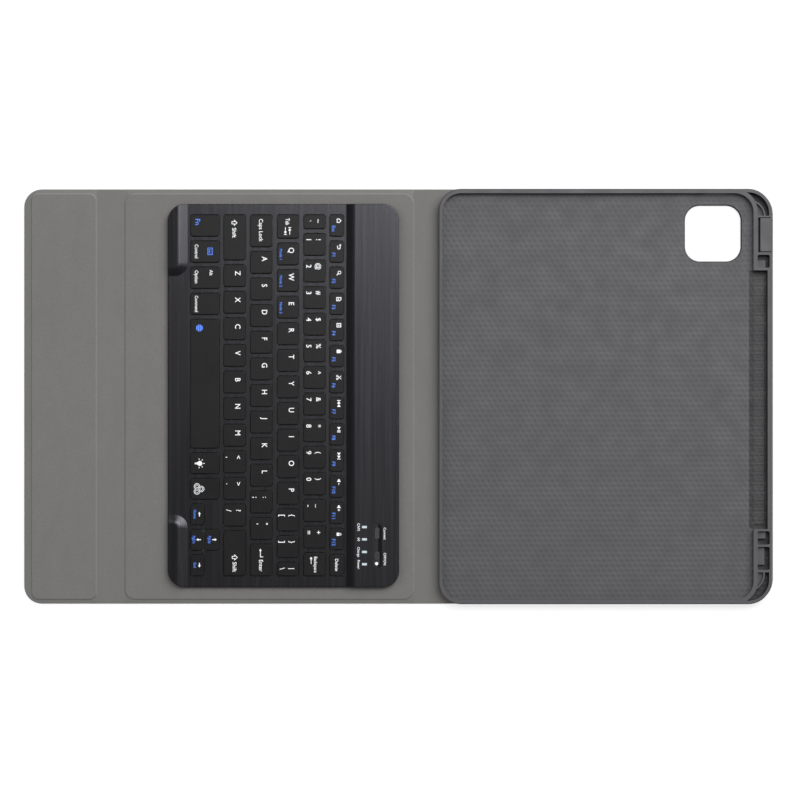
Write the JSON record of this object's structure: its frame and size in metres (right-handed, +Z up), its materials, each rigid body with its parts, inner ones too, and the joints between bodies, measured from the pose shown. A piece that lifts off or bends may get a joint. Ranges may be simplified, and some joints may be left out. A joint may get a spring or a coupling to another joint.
{
  "type": "tablet keyboard case",
  "caption": "Folding folio case for a large tablet: a soft tray with stylus slot, a lined cover that folds into a stand and a removable magnetic wireless keyboard.",
  "frame": {"origin": "middle of the underside, with the case lying open and flat", "axes": "+X from the free flap to the tablet tray, +Y along the tray's long side towards the volume key, +Z up out of the lined face"},
  "size_m": [0.5194, 0.2874, 0.0093],
  "materials": {
    "outer_leather": "fine-grained synthetic leather, satin",
    "inner_lining": "short suede-like microfibre, matt",
    "board": "grey board, matt",
    "tray_plastic": "soft thermoplastic, matt",
    "keyboard_case": "brushed hairline, semi-gloss",
    "key_plastic": "fine moulded texture, matt",
    "magnet": "nickel plated",
    "steel": "zinc plated",
    "rubber_foot": "matt",
    "dome_rubber": "translucent silicone",
    "light_sheet": "white light guide",
    "membrane": "printed film",
    "battery_pouch": "foil pouch",
    "circuit_board": "solder mask",
    "port_metal": "stamped steel",
    "lens": "clear moulded light pipe"
  },
  "bodies": {
    "back": {"tray_shell": "tray_plastic", "back_leather": "outer_leather", "back_lining": "inner_lining", "back_board": "board", "back_crease": "inner_lining"},
    "volume_button": {"volume_button_pad": "tray_plastic"},
    "spine": {"spine_leather": "outer_leather", "spine_lining": "inner_lining"},
    "front_panel": {"front_leather": "outer_leather", "front_board": "board", "front_lining": "inner_lining", "keyboard_magnets": "magnet", "sleep_wake_magnet": "magnet", "front_crease": "inner_lining", "strip_crease": "inner_lining"},
    "flap_strip": {"strip_leather": "outer_leather", "strip_lining": "inner_lining"},
    "flap": {"flap_leather": "outer_leather", "flap_board": "board", "flap_lining": "inner_lining", "flap_magnets": "magnet", "flap_crease": "inner_lining"},
    "keyboard": {"keyboard_top_case": "keyboard_case", "keyboard_bottom_case": "keyboard_case", "keyboard_steel_plates": "steel", "keyboard_feet": "rubber_foot", "case_screws": "steel", "backlight_sheet": "light_sheet", "switch_membrane": "membrane", "rubber_domes": "dome_rubber", "membrane_ribbon": "membrane", "battery": "battery_pouch", "circuit_board": "circuit_board", "charging_port": "port_metal", "tact_switch": "port_metal", "slide_switch_body": "port_metal", "indicator_lenses": "lens"},
    "connect_button_body": {"connect_button": "key_plastic"},
    "power_switch_body": {"power_switch": "key_plastic"},
    "keys_function_row_body": {"keys_function_row": "key_plastic"},
    "key_backtick_body": {"key_backtick": "key_plastic"},
    "keys_number_row_body": {"keys_number_row": "key_plastic"},
    "key_backspace_body": {"key_backspace": "key_plastic"},
    "key_tab_body": {"key_tab": "key_plastic"},
    "keys_letters_top_body": {"keys_letters_top": "key_plastic"},
    "key_backslash_body": {"key_backslash": "key_plastic"},
    "key_caps_lock_body": {"key_caps_lock": "key_plastic"},
    "keys_letters_home_body": {"keys_letters_home": "key_plastic"},
    "key_enter_body": {"key_enter": "key_plastic"},
    "key_shift_left_body": {"key_shift_left": "key_plastic"},
    "keys_letters_bottom_body": {"keys_letters_bottom": "key_plastic"},
    "key_shift_right_body": {"key_shift_right": "key_plastic"},
    "keys_modifiers_left_body": {"keys_modifiers_left": "key_plastic"},
    "key_space_body": {"key_space": "key_plastic"},
    "key_backlight_body": {"key_backlight": "key_plastic"},
    "key_colour_body": {"key_colour": "key_plastic"},
    "key_left_body": {"key_left": "key_plastic"},
    "key_down_body": {"key_down": "key_plastic"},
    "key_up_body": {"key_up": "key_plastic"},
    "key_right_body": {"key_right": "key_plastic"}
  },
  "joints": [
    {"name": "back_fold", "type": "hinge", "parent": "back", "child": "spine", "pos_m": [0.0271, 0, 0.0005], "axis": [0, -1, 0], "range_deg": [-90, 90], "deforming": ["back_crease"]},
    {"name": "front_fold", "type": "hinge", "parent": "spine", "child": "front_panel", "pos_m": [0.0116, 0, 0.0005], "axis": [0, -1, 0], "range_deg": [-90, 90], "deforming": ["front_crease"]},
    {"name": "strip_fold", "type": "hinge", "parent": "front_panel", "child": "flap_strip", "pos_m": [-0.1908, 0, 0.0005], "axis": [0, 1, 0], "range_deg": [-90, 0], "deforming": ["strip_crease"]},
    {"name": "flap_fold", "type": "hinge", "parent": "flap_strip", "child": "flap", "pos_m": [-0.2084, 0, 0.0005], "axis": [0, 1, 0], "range_deg": [-90, 0], "deforming": ["flap_crease"]},
    {"name": "keyboard_lift", "type": "slide", "parent": "front_panel", "child": "keyboard", "axis": [0, 0, 1], "range_m": [0, 0.04]},
    {"name": "volume_press", "type": "slide", "parent": "back", "child": "volume_button", "axis": [-1, 0, 0], "range_m": [0, 0.0008], "stiffness_N_per_m": 2000},
    {"name": "connect_press", "type": "slide", "parent": "keyboard", "child": "connect_button_body", "axis": [0, 0, -1], "range_m": [0, 0.0003], "stiffness_N_per_m": 1000},
    {"name": "power_slide", "type": "slide", "parent": "keyboard", "child": "power_switch_body", "axis": [0, -1, 0], "range_m": [0, 0.003]},
    {"name": "keys_function_row_press", "type": "slide", "parent": "keyboard", "child": "keys_function_row_body", "axis": [0, 0, -1], "range_m": [0, 0.0015], "stiffness_N_per_m": 400},
    {"name": "key_backtick_press", "type": "slide", "parent": "keyboard", "child": "key_backtick_body", "axis": [0, 0, -1], "range_m": [0, 0.0015], "stiffness_N_per_m": 400},
    {"name": "keys_number_row_press", "type": "slide", "parent": "keyboard", "child": "keys_number_row_body", "axis": [0, 0, -1], "range_m": [0, 0.0015], "stiffness_N_per_m": 400},
    {"name": "key_backspace_press", "type": "slide", "parent": "keyboard", "child": "key_backspace_body", "axis": [0, 0, -1], "range_m": [0, 0.0015], "stiffness_N_per_m": 400},
    {"name": "key_tab_press", "type": "slide", "parent": "keyboard", "child": "key_tab_body", "axis": [0, 0, -1], "range_m": [0, 0.0015], "stiffness_N_per_m": 400},
    {"name": "keys_letters_top_press", "type": "slide", "parent": "keyboard", "child": "keys_letters_top_body", "axis": [0, 0, -1], "range_m": [0, 0.0015], "stiffness_N_per_m": 400},
    {"name": "key_backslash_press", "type": "slide", "parent": "keyboard", "child": "key_backslash_body", "axis": [0, 0, -1], "range_m": [0, 0.0015], "stiffness_N_per_m": 400},
    {"name": "key_caps_lock_press", "type": "slide", "parent": "keyboard", "child": "key_caps_lock_body", "axis": [0, 0, -1], "range_m": [0, 0.0015], "stiffness_N_per_m": 400},
    {"name": "keys_letters_home_press", "type": "slide", "parent": "keyboard", "child": "keys_letters_home_body", "axis": [0, 0, -1], "range_m": [0, 0.0015], "stiffness_N_per_m": 400},
    {"name": "key_enter_press", "type": "slide", "parent": "keyboard", "child": "key_enter_body", "axis": [0, 0, -1], "range_m": [0, 0.0015], "stiffness_N_per_m": 400},
    {"name": "key_shift_left_press", "type": "slide", "parent": "keyboard", "child": "key_shift_left_body", "axis": [0, 0, -1], "range_m": [0, 0.0015], "stiffness_N_per_m": 400},
    {"name": "keys_letters_bottom_press", "type": "slide", "parent": "keyboard", "child": "keys_letters_bottom_body", "axis": [0, 0, -1], "range_m": [0, 0.0015], "stiffness_N_per_m": 400},
    {"name": "key_shift_right_press", "type": "slide", "parent": "keyboard", "child": "key_shift_right_body", "axis": [0, 0, -1], "range_m": [0, 0.0015], "stiffness_N_per_m": 400},
    {"name": "keys_modifiers_left_press", "type": "slide", "parent": "keyboard", "child": "keys_modifiers_left_body", "axis": [0, 0, -1], "range_m": [0, 0.0015], "stiffness_N_per_m": 400},
    {"name": "key_space_press", "type": "slide", "parent": "keyboard", "child": "key_space_body", "axis": [0, 0, -1], "range_m": [0, 0.0015], "stiffness_N_per_m": 400},
    {"name": "key_backlight_press", "type": "slide", "parent": "keyboard", "child": "key_backlight_body", "axis": [0, 0, -1], "range_m": [0, 0.0015], "stiffness_N_per_m": 400},
    {"name": "key_colour_press", "type": "slide", "parent": "keyboard", "child": "key_colour_body", "axis": [0, 0, -1], "range_m": [0, 0.0015], "stiffness_N_per_m": 400},
    {"name": "key_left_press", "type": "slide", "parent": "keyboard", "child": "key_left_body", "axis": [0, 0, -1], "range_m": [0, 0.0015], "stiffness_N_per_m": 400},
    {"name": "key_down_press", "type": "slide", "parent": "keyboard", "child": "key_down_body", "axis": [0, 0, -1], "range_m": [0, 0.0015], "stiffness_N_per_m": 400},
    {"name": "key_up_press", "type": "slide", "parent": "keyboard", "child": "key_up_body", "axis": [0, 0, -1], "range_m": [0, 0.0015], "stiffness_N_per_m": 400},
    {"name": "key_right_press", "type": "slide", "parent": "keyboard", "child": "key_right_body", "axis": [0, 0, -1], "range_m": [0, 0.0015], "stiffness_N_per_m": 400}
  ]
}
